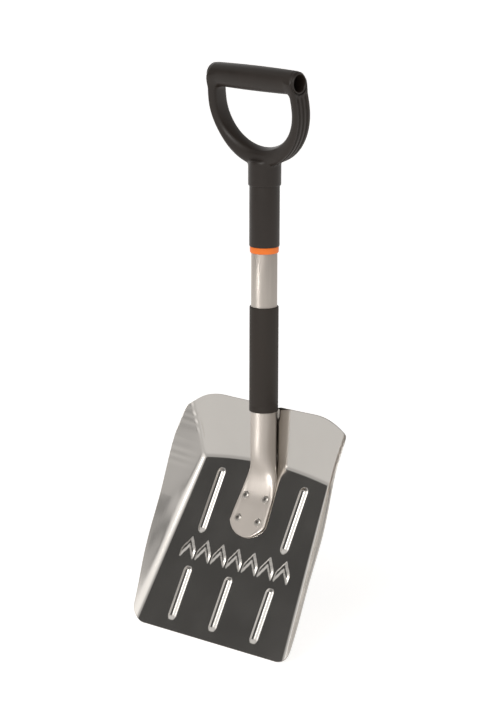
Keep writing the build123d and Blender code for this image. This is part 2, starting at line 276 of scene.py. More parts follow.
# ---------------------------------------------------------------- pan
# Middles of the beads, across the floor and up it, in millimetres
UPPER_BEADS = ((-59, -36), (59, -36))
LOWER_BEADS = ((-59, -143.4), (0, -143.4), (59, -143.4))
BEAD_CREST = 0.22  # share of a bead's width that is flat
UPPER_BEAD_LENGTH = 75.5 * MM
LOWER_BEAD_LENGTH = 62.5 * MM
CHEVRON_COUNT = 7
CHEVRON_PITCH = 22.5 * MM
CHEVRON_WIDTH = 20.5 * MM
CHEVRON_RISE = 15 * MM
CHEVRON_STROKE = 12 * MM
CHEVRON_LEVEL = -93.5 * MM
CHEVRON_FLANK = 2.1 * MM
# Corners of the rim before rounding, and the radii that round them
RIM_HALF_WIDTH_TIP = 111.3 * MM
TIP_CORNER_RADIUS = 17 * MM
RIM_HALF_WIDTH = 118.7 * MM
RIM_WIDEST = -62 * MM
SIDE_RADIUS = 1650 * MM
RIM_HALF_WIDTH_BACK = 111.8 * MM
BACK_CORNER_DROP = 15.6 * MM
BACK_CORNER_RADIUS = 14 * MM
BACK_STRAIGHT = 85.8 * MM
BACK_BOW_RADIUS = 78 * MM
# How steeply the side walls rise, at places up the floor in millimetres
WALL_PLACES = (-186, -150, -100, -45, -10, 20, 60)
WALL_STEEPNESS = (0.86, 0.88, 0.93, 1.0, 1.1, 1.2, 1.15)
# The trough for the tube, in millimetres: place up the floor, half width, height of its middle, depth
TROUGH = (
    (-60, 22.5, 30, 1.9),
    (-22, 22.5, 1.9, 1.9),
    (3, 19.2, 3, 6.7),
    (24.5, 14.4, 13.6, 16.5),
    (60, 14.4, 33.3, 16.5),
    (67, 15.9, 37.1, 18.3),
    (90, 15.9, 49.9, 18.3),
)


def pan_outline(pan):
    """The right half of the pan's outline, from the cutting edge round to the back edge."""
    back_edge = pan.back_bend + pan.back_height * cos(pan.back_rise)
    # Out from the middle, up the floor, and the radius that the corner is rounded to
    corners = (
        (0, pan.tip, 0),
        (RIM_HALF_WIDTH_TIP, pan.tip, TIP_CORNER_RADIUS),
        (RIM_HALF_WIDTH, RIM_WIDEST, SIDE_RADIUS),
        (RIM_HALF_WIDTH_BACK, back_edge - BACK_CORNER_DROP, BACK_CORNER_RADIUS),
        (BACK_STRAIGHT, back_edge, BACK_BOW_RADIUS),
        (0, back_edge, 0),
    )
    points = rounded_path(corners, pan.mesh_step, 1.7 * MM)
    first = next(place for place, point in enumerate(points) if point.y > pan.tip + 1e-7)
    return np.array([tuple(point) for point in points[first - 1 :]])


def bead(across, up, spot, overall, pan):
    """A pressed bead with round ends, lying up the floor."""
    half = pan.bead_width / 2
    beyond = np.maximum(np.abs(up - spot[1] * MM) - overall / 2 + half, 0)
    away = np.clip(np.hypot(across - spot[0] * MM, beyond) / half, 0, 1)
    return pan.bead_height * (1 - smooth_step((away - BEAD_CREST) / (1 - BEAD_CREST)))


def chevron(across, up, middle, pan):
    """A pressed chevron that points up the floor."""
    aside = np.abs(across - middle)
    slope = 2 * CHEVRON_RISE / CHEVRON_WIDTH
    band = np.abs(up - CHEVRON_LEVEL - CHEVRON_RISE / 2 + slope * aside) - CHEVRON_STROKE / 2
    inside = -smooth_max(band / (1 + slope**2) ** 0.5, aside - CHEVRON_WIDTH / 2, 2 * MM)
    return pan.chevron_height * smooth_step(inside / CHEVRON_FLANK)


def pan_surface(across, up, pan):
    """Height of the pan's inner face over the plane of its floor."""
    # Pressed sheet is never quite flat
    height = 0.05 * MM * np.sin(across / (17 * MM) + 1.3) * np.sin(up / (23 * MM))
    for spots, overall in ((UPPER_BEADS, UPPER_BEAD_LENGTH), (LOWER_BEADS, LOWER_BEAD_LENGTH)):
        for spot in spots:
            height = height + bead(across, up, spot, overall, pan)
    for place in range(CHEVRON_COUNT):
        middle = CHEVRON_PITCH * (place - (CHEVRON_COUNT - 1) / 2)
        height = height + chevron(across, up, middle, pan)

    # The back bend arches up in its middle, and the wall above it waves a little
    arch = pan.bend_arch * (1 - np.minimum(np.abs(across) / pan.half_width_back, 1) ** 2)
    above = up - pan.back_bend - arch
    wave = 0.25 * MM * np.sin(across / (21 * MM)) * smooth_step(above / (40 * MM))
    height = smooth_max(height, above * tan(pan.back_rise) + wave, pan.back_softness)

    # The side walls lean out more towards the tip, and carry drawing wrinkles near the back corners
    along = (pan.back_bend - up) / (pan.back_bend - pan.tip)
    bend = pan.half_width_back + (pan.half_width_tip - pan.half_width_back) * along
    steepness = np.interp(up / MM, WALL_PLACES, WALL_STEEPNESS)
    beyond = np.abs(across) - bend
    ripple = np.sin(up / (1.9 * MM) + 2.2 * np.sin(up / (7 * MM)) + 40 * beyond)
    wrinkled = smooth_step(beyond / (18 * MM)) * smooth_step((up + 30 * MM) / (40 * MM))
    belly = 0.9 * MM * np.sin(up / (19 * MM) + 0.8) * smooth_step(beyond / (14 * MM))
    side = beyond * steepness + belly + 0.16 * MM * ripple * wrinkled
    height = smooth_max(height, side, pan.side_bend)

    # The trough follows the back of the tube, and opens with softer edges up the back wall
    places, widths, middles, depths = (np.array(column) * MM for column in zip(*TROUGH))
    half = np.interp(up, places, widths)
    inside = np.sqrt(np.clip(1 - (across / half) ** 2, 0, 1))
    flank = np.interp(up / MM, (5, 35), (2.5, 1.4)) * np.maximum(np.abs(across) - half, 0)
    trough = np.interp(up, places, middles) - np.interp(up, places, depths) * inside + flank
    softness = np.interp(up / MM, (0, 30), (2.4, 7)) * MM
    return smooth_min(height, trough, softness)


def build_pan(pan, tube, material):
    """The pan: a formed sheet with beads, chevrons, walls and a rounded rim."""
    outline = pan_outline(pan)
    columns = 2 * round(outline[:, 0].max() / pan.mesh_step) + 1
    share = np.linspace(-1, 1, columns)
    # Columns run straight up the floor in the middle and follow the outline only near the rim
    straight = np.minimum(100 * MM, 1.1 * outline[:, :1])
    across = straight * share + (outline[:, :1] - straight) * share**7
    up = np.repeat(outline[:, 1:], columns, axis=1)
    step = 0.1 * MM
    height = pan_surface(across, up, pan)
    rise_across = pan_surface(across + step, up, pan) - pan_surface(across - step, up, pan)
    rise_up = pan_surface(across, up + step, pan) - pan_surface(across, up - step, pan)
    normal = np.stack([-rise_across, -rise_up, np.full_like(height, 2 * step)], axis=-1)
    normal /= np.linalg.norm(normal, axis=-1, keepdims=True)
    face = np.stack([across, up, height], axis=-1)
    back = face - normal * pan.sheet

    def rim(values):
        """Values round the edge: up the right side, back along the top and round to the start."""
        return np.concatenate([values[:-1, -1], values[-1, :0:-1], values[:0:-1, 0], values[0, :-1]])

    edge, edge_normal = rim(face), rim(normal)
    outward = np.cross(np.roll(edge, -1, axis=0) - np.roll(edge, 1, axis=0), edge_normal)
    outward /= np.linalg.norm(outward, axis=-1, keepdims=True)
    rounding = [
        edge - edge_normal * pan.sheet * depth + outward * pan.sheet * bulge
        for depth, bulge in ((0.12, 0.16), (0.5, 0.24), (0.88, 0.16))
    ]
    rows, count = outline.shape[0], edge.shape[0]
    numbers = np.arange(rows * columns).reshape(rows, columns)
    front_rim, back_rim = rim(numbers), rim(numbers) + rows * columns
    rings = [2 * rows * columns + count * ring + np.arange(count) for ring in range(len(rounding))]
    loops = [front_rim, *rings, back_rim]
    faces = lattice(rows, columns)
    faces += [quad[::-1] for quad in lattice(rows, columns, rows * columns)]
    for near, far in zip(loops, loops[1:]):
        faces += np.stack([near, far, np.roll(far, -1), np.roll(near, -1)], axis=-1).tolist()
    points = np.concatenate([face.reshape(-1, 3), back.reshape(-1, 3)] + rounding)
    rim_facing = [outward + edge_normal, outward, outward - edge_normal]
    facing = np.concatenate([normal.reshape(-1, 3), -normal.reshape(-1, 3)] + rim_facing)
    facing /= np.linalg.norm(facing, axis=-1, keepdims=True)
    placed = from_floor(floor_origin(tube), pan.lean, *points.T)
    turned_facing = from_floor(Vector((0, 0, 0)), pan.lean, *facing.T)
    return add_piece("pan", placed, faces, material, "pan_aluminium", "blade", normals=turned_facing)


# ---------------------------------------------------------------- tube and sleeves
TONGUE_SHOULDER = -52 * MM
TONGUE_WAIST = -34 * MM
TONGUE_WAIST_HALF_WIDTH = 23.4 * MM
TONGUE_NECK = -17 * MM
TONGUE_NECK_HALF_WIDTH = 22 * MM
ELBOW_HALF_WIDTH = 18.7 * MM
ELBOW_HALF_THICKNESS = 6.5 * MM
ELBOW_PLACE = 3 * MM
ELBOW_RAISE = 3 * MM
# The tube is round down to its foot, and its sections are set at these heights over the floor's plane
TUBE_FOOT = 28 * MM
OVER_TUBE_FOOT = 60 * MM
ROWS_BETWEEN_KEYS = (2, 14, 18, 18, 8, 8)
EDGE_RAISE = 0.5 * MM
DISH_DEPTH = 0.35 * MM
DISH_HALF_WIDTH = 7 * MM
TUBE_TOP_GAP = 1 * MM
TUBE_COLUMNS = 112
TONGUE_END_ROWS = 22
LAST_SWING = 0.02  # radians left at the tongue's end, so that its last section has a width
TURNED_COLUMNS = 120
SEAT = 0.05 * MM
SLEEVE_CLEARANCE = 0.1 * MM


def build_tube(pan, tube, material):
    """The tube: round down to the pan, then flattened into a tongue that lies on its floor."""
    lean, thickness = pan.lean, tube.tongue_thickness
    middle_height = SEAT + thickness / 2
    # Up the floor, out of it, turn of the section, half width, half thickness
    keys = [
        (height * cos(lean), height * sin(lean), 0, tube.radius, tube.radius)
        for height in (tube.neck_to_floor - TUBE_TOP_GAP, OVER_TUBE_FOOT, TUBE_FOOT)
    ]
    keys.append((ELBOW_PLACE, ELBOW_RAISE, lean / 2, ELBOW_HALF_WIDTH, ELBOW_HALF_THICKNESS))
    keys.append((TONGUE_NECK, middle_height, lean, TONGUE_NECK_HALF_WIDTH, thickness / 2))
    keys.append((TONGUE_WAIST, middle_height, lean, TONGUE_WAIST_HALF_WIDTH, thickness / 2))
    keys.append((TONGUE_SHOULDER, middle_height, lean, tube.tongue_half_width, thickness / 2))
    keys = np.array(keys)
    sections = []
    for place, pieces in enumerate(ROWS_BETWEEN_KEYS):
        before = keys[max(place - 1, 0 if place < 2 else 1)]
        start, end = keys[place], keys[place + 1]
        after = keys[min(place + 2, len(keys) - 1)]
        for part in np.arange(pieces) / pieces:
            ahead = (end - before) / 2 if place > 1 else end - start
            behind = (after - start) / 2 if 0 < place < len(keys) - 2 else end - start
            sections.append(
                start * (2 * part**3 - 3 * part**2 + 1)
                + ahead * (part**3 - 2 * part**2 + part)
                + end * (3 * part**2 - 2 * part**3)
                + behind * (part**3 - part**2)
            )
    # The end of the tongue is cut to an arc
    sagitta = TONGUE_SHOULDER - tube.tongue_end
    arc = (tube.tongue_half_width**2 + sagitta**2) / (2 * sagitta)
    reach = np.arccos((arc - sagitta) / arc)
    for swing in np.linspace(reach, LAST_SWING, TONGUE_END_ROWS):
        place = tube.tongue_end + arc - arc * cos(swing)
        half = min(arc * sin(swing), tube.tongue_half_width)
        sections.append(np.array([place, middle_height, lean, half, thickness / 2]))
    sections = np.array(sections)
    around = 2 * pi * np.arange(TUBE_COLUMNS) / TUBE_COLUMNS
    up, out, turn, wide, thick = (sections[:, column, None] for column in range(5))
    flat = 1 - smooth_step((thick - thickness / 2) / (tube.radius - thickness / 2) * 1.6)
    power = 2 / (2 + 2.2 * flat)
    aside = np.sign(np.cos(around)) * np.abs(np.cos(around)) ** power
    front = np.sign(np.sin(around)) * np.abs(np.sin(around)) ** power
    # The pressed walls stay a little thicker at the edges, and the front is dished between the rivets
    edge = flat * smooth_step((np.abs(aside) - 0.72) / 0.2) * EDGE_RAISE
    lengthwise = smooth_step((-up - 20 * MM) / (16 * MM))
    dish = flat * DISH_DEPTH * np.exp(-((aside * wide / DISH_HALF_WIDTH) ** 2)) * lengthwise
    across = wide * aside
    lift = thick * front + np.where(front > 0, front * (edge - dish), 0)
    origin = floor_origin(tube)
    y = origin.y + up * sin(lean) - out * cos(lean) - lift * np.cos(turn)
    z = origin.z + up * cos(lean) + out * sin(lean) + lift * np.sin(turn)
    points = np.stack([across, y, z], axis=-1)
    rows, columns = points.shape[:2]
    faces = [quad[::-1] for quad in lattice(rows, columns, closed=True)]
    faces.append(list(range(columns)))
    faces.append([(rows - 1) * columns + column for column in reversed(range(columns))])
    return add_piece("tube", points, faces, material, "tube_aluminium", "shaft_tube")


def turned(name, profile, axis_y, material, slot, node):
    """A piece turned about the shaft's axis from a closed profile of radius and height."""
    columns = TURNED_COLUMNS
    around = 2 * pi * np.arange(columns) / columns
    radius, height = (np.array(column)[:, None] for column in zip(*(profile + profile[:1])))
    sides = radius * np.cos(around), axis_y + radius * np.sin(around), height + 0 * around
    points = np.stack(sides, axis=-1)
    faces = lattice(len(profile), columns, closed=True)
    last = (len(profile) - 1) * columns
    for column in range(columns):
        beside = (column + 1) % columns
        faces.append([last + column, last + beside, beside, column])
    return add_piece(name, points[:-1], faces, material, slot, node)


def sleeve_profile(low, high, inner, outer, edge, shape=()):
    """Closed profile of a sleeve with rounded outer edges; shape lists extra outer points."""
    swings = np.linspace(0, pi / 2, 6)
    middle = outer - edge
    foot = [(middle + edge * sin(swing), low + edge - edge * cos(swing)) for swing in swings]
    head = [(middle + edge * cos(swing), high - edge + edge * sin(swing)) for swing in swings]
    return [(inner, low)] + foot + list(shape) + head + [(inner, high)]


# ---------------------------------------------------------------- hand grip
# The D is stretched above its widest level, and its arms bulge into the opening
ARCH_STRETCH = 1.35
OPENING_STRETCH = 1.6
BULGE_ASIDE = 2.6 * MM
BULGE_DOWN = 11 * MM
SOCKET_BORE_RADIUS = 14.15 * MM
COLLAR_BORE_RADIUS = 16.35 * MM
SCREW_SEAT_RADIUS = 4.1 * MM
SCREW_DROP = 9 * MM
LIP_RADIUS = 0.9 * MM
DITCH_OFFSET = 2.6 * MM
GRIP_MARGIN = 4 * MM
FIELD_REACH = 6  # voxels on either side of the surface that keep their own value


def ellipse_field(across, up, half_width, half_height):
    """Roughly the distance outside an ellipse, negative inside it."""
    near = np.hypot(across / half_width, up / half_height)
    slope = np.hypot(across / half_width**2, up / half_height**2)
    return near * (near - 1) / np.maximum(slope, 1e-6)


def grip_field(x, y, z, grip):
    """Roughly the distance outside the hand grip at each point, negative in its plastic."""
    up = -y * sin(grip.tilt) + z * cos(grip.tilt)
    front = -y * cos(grip.tilt) - z * sin(grip.tilt)
    half_depth = grip.depth / 2

    # The bar swells a little in the middle
    taper = grip.bar_middle_radius - grip.bar_end_radius
    swell = grip.bar_middle_radius - taper * (2 * x / grip.bar_length) ** 2
    from_bar = np.hypot(y, z)
    past_end = np.abs(x) - grip.bar_length / 2
    bar = smooth_max(from_bar - swell, past_end, 2.2 * MM)

    # The arms are flat outside and bulge into the opening
    share = np.clip(np.abs(front) / half_depth, 0, 1)
    bulge = 1 - np.sqrt(np.clip(1 - share**2, 0, 1))
    level = up - grip.arch_level
    above = level > 0
    high_side = np.where(above, ARCH_STRETCH, 1) * grip.arch_drop
    outside = ellipse_field(x, level, grip.arch_half_width, high_side)
    wide = grip.opening_half_width + BULGE_ASIDE * bulge
    deep = (grip.opening_drop + BULGE_DOWN * bulge) * np.where(above, OPENING_STRETCH, 1)
    opening = ellipse_field(x, level, wide, deep)
    lower = smooth_step((-up - 25 * MM) / (45 * MM))
    arms = smooth_max(outside, front - half_depth, 3.5 * MM + 5 * MM * lower)
    arms = smooth_max(arms, -front - half_depth, 2.5 * MM)
    arms = smooth_max(arms, -opening, 5.5 * MM)
    groove = -outside - grip.groove_depth
    for place in (-1, 0, 1):
        line = np.abs(front - place * grip.groove_pitch) - grip.groove_width / 2
        ends = smooth_max(line, up + grip.bar_end_radius - 1 * MM, 1 * MM)
        arms = smooth_max(arms, -smooth_max(ends, groove, 0.5 * MM), 0.5 * MM)
    arms = smooth_max(arms, up, 1 * MM)
    # Where bar and arms run into each other they stay inside the outline of both
    outline = np.minimum(outside, np.maximum(past_end, from_bar - swell))
    solid = smooth_max(smooth_min(bar, arms, 6 * MM), outline, 1.2 * MM)

    # The socket for the tube
    neck = -grip.neck_drop * cos(grip.tilt)
    from_axis = np.hypot(x, y - shaft_y)
    body = smooth_max(from_axis - grip.socket_radius, neck - grip.socket_length - z, 1.6 * MM)
    body = smooth_max(body, z - neck - 7 * MM, 6 * MM)
    solid = smooth_min(solid, body, 2.5 * MM)
    bore = smooth_max(from_axis - SOCKET_BORE_RADIUS, z - neck + 1 * MM, 0.5 * MM)
    collar_top = neck - grip.socket_length + grip.collar_depth
    collar = smooth_max(from_axis - COLLAR_BORE_RADIUS, z - collar_top, 0.5 * MM)
    solid = smooth_max(solid, -np.minimum(bore, collar), 0.6 * MM)

    # The bore through the bar, with a raised lip round each end
    past_bore = from_bar - grip.bore_radius
    lip = np.hypot(past_end - 0.3 * MM, past_bore - LIP_RADIUS) - LIP_RADIUS
    ditch = np.hypot(past_end - 0.4 * MM, past_bore - DITCH_OFFSET) - LIP_RADIUS
    solid = smooth_min(smooth_max(solid, -ditch, 0.3 * MM), lip, 0.3 * MM)
    solid = smooth_max(solid, -past_bore, 0.8 * MM)

    # The seat of the screw, behind the socket
    seat = np.hypot(x, z - neck + SCREW_DROP) - SCREW_SEAT_RADIUS
    seat = np.maximum(seat, shaft_y + grip.socket_radius - 1 * MM - y)
    return smooth_max(solid, -seat, 0.3 * MM)


def build_grip(grip, material):
    """The hand grip, formed in one piece from its field and meshed where that crosses zero."""
    low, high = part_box("d_grip")
    axes = [
        np.arange(low[side] - GRIP_MARGIN, high[side] + GRIP_MARGIN, grip.voxel) for side in range(3)
    ]
    x, y, z = np.meshgrid(*axes, indexing="ij")
    field = grip_field(x, y, z, grip)
    reach = FIELD_REACH * grip.voxel
    volume = openvdb.FloatGrid(reach)
    volume.copyFromArray(np.clip(field, -reach, reach).astype(np.float32))
    points, quads = volume.convertToQuads(0.0)
    points = points * grip.voxel + np.array([axis[0] for axis in axes])
    return add_piece("hand_grip", points, quads[:, ::-1].tolist(), material, "grip_plastic", "d_grip")


# ---------------------------------------------------------------- materials
# Noise seldom leaves this range, so it is the range that patterns are carried from
NOISE_RANGE = {"From Min": 0.3, "From Max": 0.7}
# Widths of the cloudy patterns, in metres: about 45 mm, 33 mm and 1.7 mm
PAN_CLOUD = 1 / 22
WEAR_CLOUD = 1 / 30
METAL_CLOUD = 1 / 600


def add_node(tree, kind, links=None, **settings):
    """One shader node with its settings, socket values and links."""
    made = tree.nodes.new(kind)
    for name, value in settings.items():
        setattr(made, name, value)
    for socket, value in (links or {}).items():
        if isinstance(value, bpy.types.NodeSocket):
            tree.links.new(value, made.inputs[socket])
        else:
            made.inputs[socket].default_value = value
    return made


def new_material(name, shader_values):
    """A material with one Principled shader, and its object coordinates in metres."""
    material = bpy.data.materials.new(name)
    material.use_nodes = True
    tree = material.node_tree
    shader = tree.nodes["Principled BSDF"]
    for socket, value in shader_values.items():
        shader.inputs[socket].default_value = value
    place = add_node(tree, "ShaderNodeTexCoord").outputs["Object"]
    return material, tree, shader, place


def streaks(tree, place, spacing, stretch, turn=0.0):
    """Noise drawn out along one direction: spacing across it, and longer by stretch along it."""
    aligned = add_node(tree, "ShaderNodeMapping", {"Vector": place, "Rotation": (turn, 0, 0)})
    scale = (1 / spacing, 1 / spacing, 1 / (spacing * stretch))
    scaled = add_node(tree, "ShaderNodeMapping", {"Vector": aligned.outputs["Vector"], "Scale": scale})
    noise = {"Vector": scaled.outputs["Vector"], "Scale": 1.0, "Detail": 3.0}
    return add_node(tree, "ShaderNodeTexNoise", noise).outputs["Fac"]


def finish_surface(tree, shader, pattern, tones, roughness, grain, bump):
    """One pattern varies the tone and the gloss, and a grain raises the surface: strength, height."""
    share = add_node(tree, "ShaderNodeMapRange", {"Value": pattern, **NOISE_RANGE}).outputs["Result"]
    tint = add_node(tree, "ShaderNodeMix", {"Factor": share, 6: tones[0], 7: tones[1]}, data_type="RGBA")
    tree.links.new(tint.outputs[2], shader.inputs["Base Color"])
    gloss_range = {"Value": pattern, **NOISE_RANGE, "To Min": roughness[0], "To Max": roughness[1]}
    gloss = add_node(tree, "ShaderNodeMapRange", gloss_range)
    tree.links.new(gloss.outputs["Result"], shader.inputs["Roughness"])
    if grain is not None:
        relief = {"Height": grain, "Strength": bump[0], "Distance": bump[1]}
        raised = add_node(tree, "ShaderNodeBump", relief)
        tree.links.new(raised.outputs["Normal"], shader.inputs["Normal"])


def shaded(colour_value, share):
    """A colour made darker or lighter."""
    return tuple(part * share for part in colour_value[:3]) + (1.0,)


def bright_rolled_aluminium(pan):
    """Rolled aluminium sheet, pressed between polished dies: near a mirror, with faint rolling lines."""
    values = {"Metallic": 1.0, "Roughness": 0.14}
    material, tree, shader, place = new_material("bright_rolled_aluminium", values)
    rolling = streaks(tree, place, 1.6 * MM, 45, pan.lean)
    cloud = {"Vector": place, "Scale": 1 / PAN_CLOUD, "Detail": 4.0}
    clouds = add_node(tree, "ShaderNodeTexNoise", cloud).outputs["Fac"]
    tones = shaded(pan.colour, 0.95), pan.colour[:]
    finish_surface(tree, shader, clouds, tones, (0.12, 0.16), rolling, (0.05, 0.2 * MM))
    return material


def satin_anodised_aluminium(tube):
    """Drawn aluminium tube, etched and anodised: an even satin grey with fine lines along it."""
    values = {"Metallic": 0.65, "Roughness": 0.42}
    material, tree, shader, place = new_material("satin_anodised_aluminium", values)
    drawn = streaks(tree, place, 0.5 * MM, 120)
    tones = shaded(tube.tube_colour, 0.9), tube.tube_colour[:]
    finish_surface(tree, shader, drawn, tones, (0.38, 0.46), drawn, (0.06, 0.1 * MM))
    return material


def moulded(name, colour_value, grain, roughness, strength, wear=1.25):
    """Moulded plastic or rubber: a fine spark-eroded grain, a little lighter where hands rub it."""
    material, tree, shader, place = new_material(name, {"Roughness": roughness, "IOR": 1.49})
    fine_noise = {"Vector": place, "Scale": 1 / grain, "Detail": 2.0}
    fine = add_node(tree, "ShaderNodeTexNoise", fine_noise).outputs["Fac"]
    worn_noise = {"Vector": place, "Scale": 1 / WEAR_CLOUD, "Detail": 3.0}
    worn = add_node(tree, "ShaderNodeTexNoise", worn_noise).outputs["Fac"]
    tones = colour_value[:], shaded(colour_value, wear)
    gloss = roughness - 0.06, roughness + 0.06
    finish_surface(tree, shader, worn, tones, gloss, fine, (strength, 0.15 * MM))
    return material


def plain_metal(name, colour_value, roughness):
    """Small metal fastener: bare or zinc plated, a little uneven in gloss."""
    material, tree, shader, place = new_material(name, {"Metallic": 1.0, "Roughness": roughness})
    cloud = {"Vector": place, "Scale": 1 / METAL_CLOUD, "Detail": 2.0}
    clouds = add_node(tree, "ShaderNodeTexNoise", cloud).outputs["Fac"]
    tones = shaded(colour_value, 0.8), colour_value[:]
    finish_surface(tree, shader, clouds, tones, (roughness - 0.05, roughness + 0.08), None, None)
    return material


def paint_node(name, material):
    """Gives a CAD node that stays in view its better material."""
    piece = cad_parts[name]
    piece.data.materials.clear()
    piece.data.materials.append(material)


# ---------------------------------------------------------------- stage
FLOOR_REACH = 30
FLOOR_GLOW = 0.62  # even light on the paper from all round
WARM_GREY = (1, 0.985, 0.965)
# Brightness of the surround, from straight below to straight above
SURROUND_STOPS = ((0.0, 0.72), (0.42, 0.72), (0.52, 0.6), (0.75, 0.4), (1.0, 0.2))
# Soft patches of the studio seen in the metal: direction, inner and outer half angle, brightness
STUDIO_PATCHES = (
    ((-0.645, -0.587, 0.489), 20, 40, 0.5),
    ((0.25, -0.75, 0.58), 14, 34, 1.12),
    ((0.327, -0.744, 0.583), 1.5, 4, 0.12),
    ((-0.9, 0.3, 0.2), 15, 36, 1.3),
    ((0.737, -0.605, 0.305), 1.2, 3.6, 0.2),
    ((-0.645, -0.587, 0.489), 9, 16, 0.07),
)


def build_world():
    """A grey studio, dimmer overhead, with soft bright and dark patches for the metal to mirror."""
    world = bpy.data.worlds.new("studio")
    bpy.context.scene.world = world
    world.use_nodes = True
    tree = world.node_tree
    background = tree.nodes["Background"]
    direction = add_node(tree, "ShaderNodeTexCoord").outputs["Generated"]
    height = add_node(tree, "ShaderNodeSeparateXYZ", {"Vector": direction}).outputs["Z"]
    share = add_node(tree, "ShaderNodeMapRange", {"Value": height, "From Min": -1, "From Max": 1})
    ramp = add_node(tree, "ShaderNodeValToRGB", {"Fac": share.outputs["Result"]})
    for place, (position, bright) in enumerate(SURROUND_STOPS):
        stop = ramp.color_ramp.elements[place] if place < 2 else ramp.color_ramp.elements.new(position)
        stop.position = position
        stop.color = shaded(WARM_GREY, bright)
    tint = ramp.outputs["Color"]
    for towards, inner, outer, bright in STUDIO_PATCHES:
        unit = Vector(towards).normalized()
        dot = add_node(tree, "ShaderNodeVectorMath", {0: direction, 1: unit}, operation="DOT_PRODUCT")
        span = {"From Min": cos(radians(outer)), "From Max": cos(radians(inner))}
        share = add_node(
            tree,
            "ShaderNodeMapRange",
            {"Value": dot.outputs["Value"], **span},
            interpolation_type="SMOOTHSTEP",
        ).outputs["Result"]
        mixed = {"Factor": share, 6: tint, 7: shaded(WARM_GREY, bright)}
        tint = add_node(tree, "ShaderNodeMix", mixed, data_type="RGBA").outputs[2]
    tree.links.new(tint, background.inputs["Color"])


def build_floor(stage):
    """A wide, flat, pale floor under the tip of the pan, left out of what the metal mirrors."""
    level = cad_box[0][2]
    mesh = bpy.data.meshes.new("studio_floor")
    corners = [(-FLOOR_REACH, -FLOOR_REACH), (FLOOR_REACH, -FLOOR_REACH)]
    corners += [(FLOOR_REACH, FLOOR_REACH), (-FLOOR_REACH, FLOOR_REACH)]
    mesh.from_pydata([(x, y, level) for x, y in corners], [], [(0, 1, 2, 3)])
    # White paper, matt: it shows no highlight of its own
    material, _, shader, _ = new_material("matt_white_paper", {"Roughness": 0.9})
    shader.inputs["Base Color"].default_value = stage.floor_colour[:]
    shader.inputs["Emission Color"].default_value = (1, 1, 1, 1)
    shader.inputs["Emission Strength"].default_value = FLOOR_GLOW
    mesh.materials.append(material)
    floor = bpy.data.objects.new("studio_floor", mesh)
    bpy.context.scene.collection.objects.link(floor)
    floor.visible_glossy = False


def build_light(name, place, size, power):
    """A soft box that looks at the middle of the shovel."""
    lamp = bpy.data.lights.new(name, "AREA")
    lamp.shape = "DISK"
    lamp.size = size
    lamp.energy = power
    lamp.color = (1.0, 0.98, 0.95)
    light = bpy.data.objects.new(name, lamp)
    light.location = place
    aim = Vector((0, 0, -0.3)) - Vector(place)
    light.rotation_euler = aim.to_track_quat("-Z", "Y").to_euler()
    bpy.context.scene.collection.objects.link(light)


def build_tube_light(piece):
    """A narrow soft spot that lights only the foot of the tube."""
    lamp = bpy.data.lights.new("tongue_spot", "SPOT")
    lamp.spot_size = radians(12)
    lamp.spot_blend = 0.7
    lamp.shadow_soft_size = 0.18
    lamp.energy = 130
    light = bpy.data.objects.new("tongue_spot", lamp)
    target = Vector((0, shaft_y, rubber_low.z - 55 * MM))
    light.location = target + 1.3 * Vector((-0.2, -0.97, 0.08))
    light.rotation_euler = (target - light.location).to_track_quat("-Z", "Y").to_euler()
    bpy.context.scene.collection.objects.link(light)
    lit = bpy.data.collections.new("lit_by_tongue_spot")
    lit.objects.link(piece)
    light.light_linking.receiver_collection = lit


def build_camera(stage):
    """The camera, turned and tilted towards the shovel."""
    level_right = Vector((cos(stage.yaw), sin(stage.yaw), 0))
    level_ahead = Vector((-sin(stage.yaw), cos(stage.yaw), 0))
    forward = level_ahead * cos(stage.pitch) - Vector((0, 0, sin(stage.pitch)))
    level_up = level_right.cross(forward)
    right = level_right * cos(stage.roll) + level_up * sin(stage.roll)
    up = level_up * cos(stage.roll) - level_right * sin(stage.roll)
    data = bpy.data.cameras.new("camera")
    data.lens = stage.lens
    data.sensor_width = 36
    data.clip_end = 200
    camera = bpy.data.objects.new("camera", data)
    turn = Matrix((right, up, -forward)).transposed().to_4x4()
    camera.matrix_world = Matrix.Translation(stage.camera_place) @ turn
    bpy.context.scene.collection.objects.link(camera)
    bpy.context.scene.camera = camera


# ---------------------------------------------------------------- operators
class SHOVEL_OT_stage(bpy.types.Operator):
    """Sets up the camera, the pale floor and the soft light"""

    bl_idname = "shovel.stage"
    bl_label = "Stage"

    def execute(self, context):
        stage = context.scene.shovel_stage
        context.scene.view_settings.view_transform = "Standard"
        build_camera(stage)
        build_floor(stage)
        build_world()
        build_light("key_softbox", place=(0.75, -2.3, 1.5), size=1.1, power=14)
        return {"FINISHED"}


class SHOVEL_OT_pan(bpy.types.Operator):
    """Builds the pressed aluminium pan"""

    bl_idname = "shovel.pan"
    bl_label = "Pan"

    def execute(self, context):
        pan = context.scene.shovel_pan
        build_pan(pan, context.scene.shovel_tube, bright_rolled_aluminium(pan))
        return {"FINISHED"}


class SHOVEL_OT_tube(bpy.types.Operator):
    """Builds the tube with its flattened tongue, and the light that shows its foot"""

    bl_idname = "shovel.tube"
    bl_label = "Tube"

    def execute(self, context):
        tube = context.scene.shovel_tube
        piece = build_tube(context.scene.shovel_pan, tube, satin_anodised_aluminium(tube))
        build_tube_light(piece)
        return {"FINISHED"}


